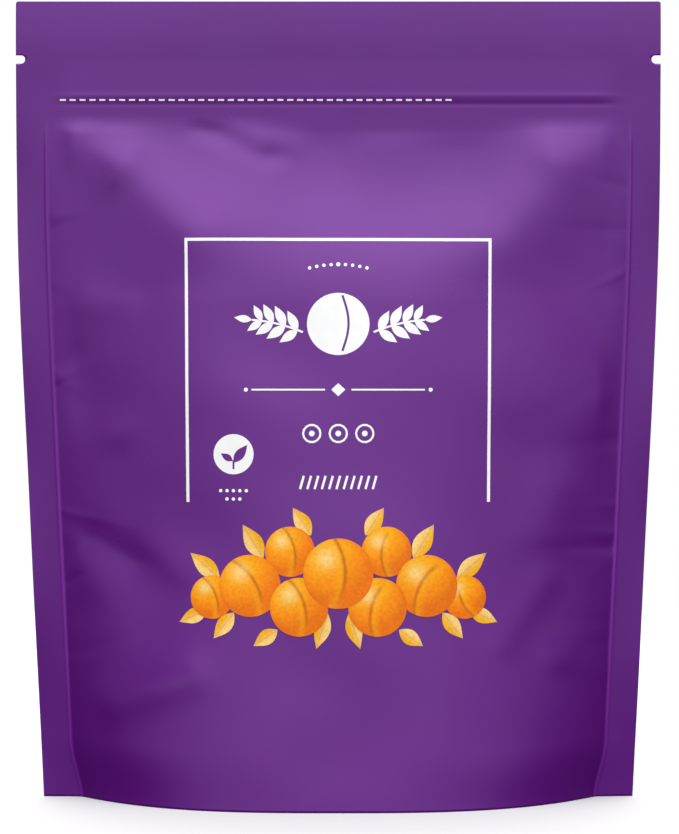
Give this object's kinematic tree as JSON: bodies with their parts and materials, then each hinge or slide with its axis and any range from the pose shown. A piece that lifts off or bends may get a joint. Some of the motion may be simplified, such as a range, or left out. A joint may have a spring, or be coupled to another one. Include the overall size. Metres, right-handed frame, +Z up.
{
  "type": "stand-up pouch of dried apricots",
  "caption": "Sealed stand-up pouch of printed film with a press-to-close zip, tear notches and a folded base gusset, filled with a loose pile of dried apricots.",
  "frame": {"origin": "on the surface that the pouch stands on, under the middle of its base", "axes": "+Z up from the base to the top seal; +X along the pouch's width, to the right as one faces the front wall; +Y from the front wall to the back wall"},
  "size_m": [0.1598, 0.0528, 0.197],
  "materials": {
    "printed_film": "satin purple printed film",
    "zip_plastic": "smooth clear-white plastic",
    "dried_apricot": "slightly sticky orange skin"
  },
  "bodies": {
    "root": {"wall_front": "printed_film", "wall_back": "printed_film", "bottom_gusset": "printed_film", "zip_rib_strip": "zip_plastic", "zip_channel_strip": "zip_plastic", "apricot_01": "dried_apricot", "apricot_02": "dried_apricot", "apricot_03": "dried_apricot", "apricot_04": "dried_apricot", "apricot_05": "dried_apricot", "apricot_06": "dried_apricot", "apricot_07": "dried_apricot", "apricot_08": "dried_apricot", "apricot_09": "dried_apricot", "apricot_10": "dried_apricot", "apricot_11": "dried_apricot", "apricot_12": "dried_apricot", "apricot_13": "dried_apricot", "apricot_14": "dried_apricot", "apricot_15": "dried_apricot", "apricot_16": "dried_apricot", "apricot_17": "dried_apricot", "apricot_18": "dried_apricot", "apricot_19": "dried_apricot", "apricot_20": "dried_apricot", "apricot_21": "dried_apricot"}
  },
  "joints": []
}
